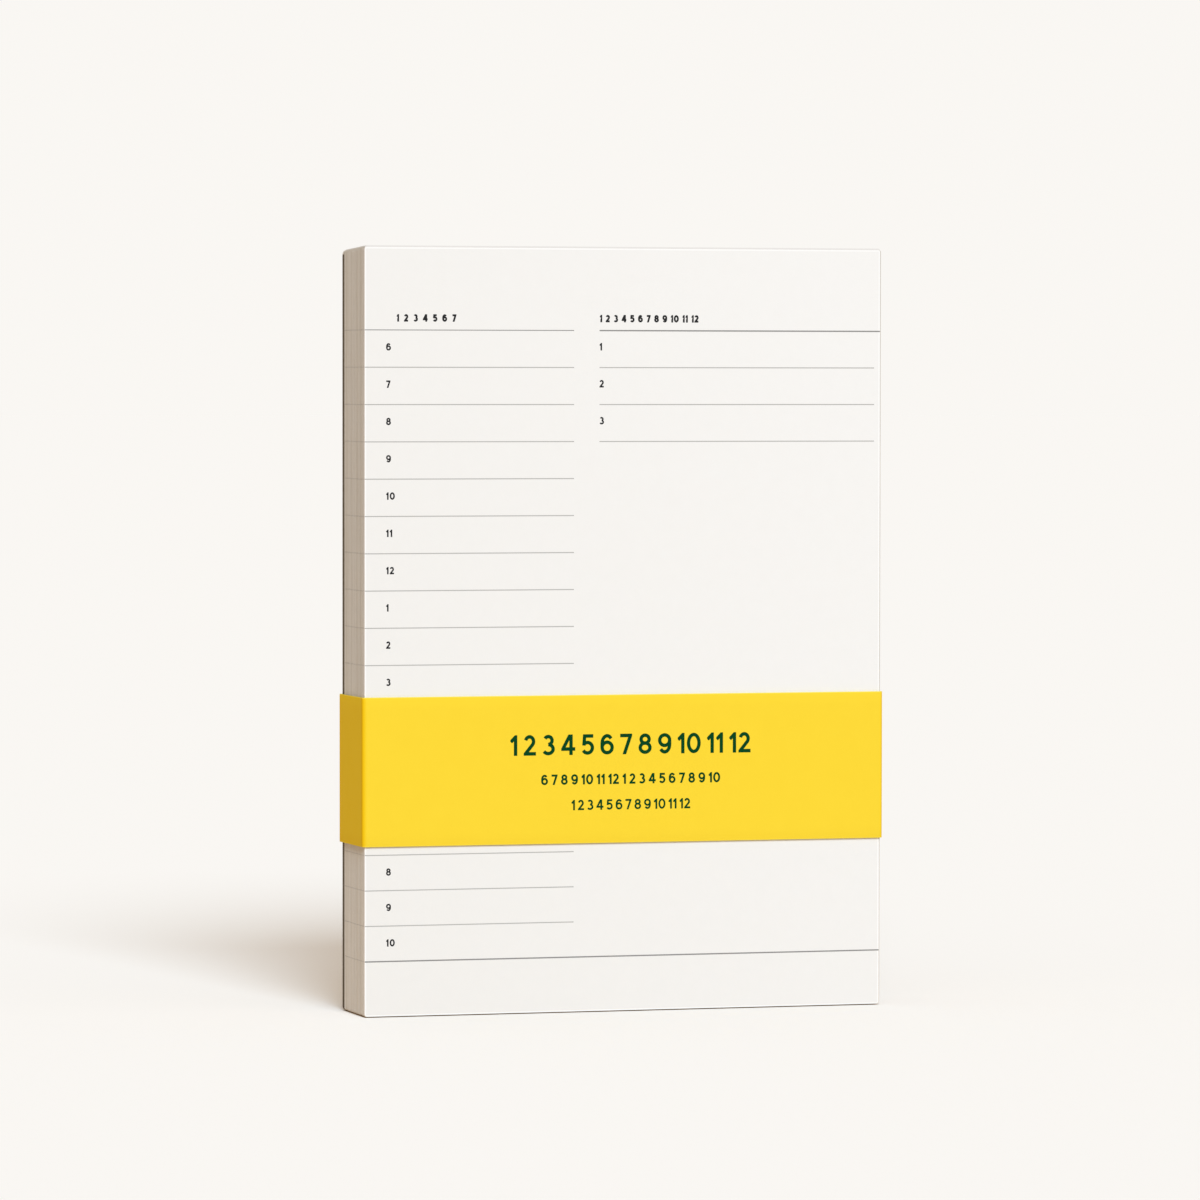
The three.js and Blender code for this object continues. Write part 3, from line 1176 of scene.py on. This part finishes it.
def padShare(tree, place, height):
    # the share of what a point of the table sees that is the pad's front, up to a height
    axes = splitPlace(tree, place)
    away = calc(tree, "SUBTRACT", padFront, axes["Y"])
    near = calc(tree, "MAXIMUM", away, stageLook["nearest"])
    reach = calc(tree, "SQRT", calc(tree, "ADD", calc(tree, "MULTIPLY", near, near), height ** 2))
    parts = []
    for sign in ("SUBTRACT", "ADD"):
        side = calc(tree, sign, halfWidth, axes["X"])
        low = calc(tree, "ARCTANGENT", calc(tree, "DIVIDE", side, near))
        high = calc(tree, "ARCTANGENT", calc(tree, "DIVIDE", side, reach))
        high = calc(tree, "MULTIPLY", calc(tree, "DIVIDE", near, reach), high)
        parts.append(calc(tree, "SUBTRACT", low, high))
    share = calc(tree, "DIVIDE", calc(tree, "ADD", *parts), 2 * math.pi)
    return calc(tree, "MULTIPLY", share, calc(tree, "LESS_THAN", axes["Y"], padBack))


def makeTable(look):
    material, tree, shader, place = startMaterial("table", specular=0.0, roughness=1.0)
    seenColour = blendColours(
        tree, closeAbove(tree, look), look["tableSeen"], look["tablePaintedShadeUnder"]
    )
    colour = blendColours(tree, seenDirectly(tree), look["tableLit"], seenColour)
    paperShare = padShare(tree, place, sheetHeight)
    bandShare = calc(
        tree, "SUBTRACT", padShare(tree, place, bandBox[1].z), padShare(tree, place, bandBox[0].z)
    )
    # painted shade: the table is darkened near the pad by the light that the paper and the band
    # throw on it
    level = (1.0, 1.0, 1.0)
    for glow, share in ((look["paperGlow"], paperShare), (look["bandGlow"], bandShare)):
        level = calcVector(tree, "ADD", calcVector(tree, "SCALE", glow, Scale=share), level)
    feed(tree, calcVector(tree, "DIVIDE", colour, level), shader.inputs["Base Color"])
    half = look["size"] / 2
    points = [(-half, -half, 0), (half, -half, 0), (half, half, 0), (-half, half, 0)]
    makePiece("table", points, [(0, 1, 2, 3)], [material])


def makeLight(look):
    world = bpy.data.worlds.new("studio")
    bpy.context.scene.world = world
    world.use_nodes = True
    tree = world.node_tree
    sky = blendColours(tree, seenDirectly(tree), look["skyColour"], look["backdrop"])
    feed(tree, sky, tree.nodes["Background"].inputs["Color"])
    lamp = bpy.data.lights.new("window", "SUN")
    lamp.energy = look["sunStrength"]
    lamp.color = look["sunColour"]
    lamp.angle = math.radians(look["sunSpread"])
    sun = bpy.data.objects.new("window", lamp)
    bpy.context.scene.collection.objects.link(sun)
    height, turn = math.radians(look["sunHeight"]), math.radians(look["sunTurn"])
    towards = Vector((
        math.sin(turn) * math.cos(height),
        -math.cos(turn) * math.cos(height),
        math.sin(height),
    ))
    sun.rotation_mode = "QUATERNION"
    sun.rotation_quaternion = towards.to_track_quat("Z", "Y")


cameraLook = {
    "place": (-555.8 * mm, -1844.5 * mm, 174.1 * mm),
    "turn": 16.668,  # degrees towards +X
    "tilt": 1.8165,  # degrees down
    "roll": -0.059,
    "lens": 208.91,  # millimetres
    "sensor": 36.0,
    "clip": (0.05, 200.0),
}


def makeCamera(look):
    data = bpy.data.cameras.new("camera")
    data.sensor_width = look["sensor"]
    data.lens = look["lens"]
    data.clip_start, data.clip_end = look["clip"]
    camera = bpy.data.objects.new("camera", data)
    camera.location = look["place"]
    turns = (90 - look["tilt"], look["roll"], -look["turn"])
    camera.rotation_euler = [math.radians(turn) for turn in turns]
    bpy.context.scene.collection.objects.link(camera)
    bpy.context.scene.camera = camera


makeTable(stageLook)
makeLight(stageLook)
makeCamera(cameraLook)
bpy.context.scene.view_settings.view_transform = "Standard"
print("table, light and camera set")
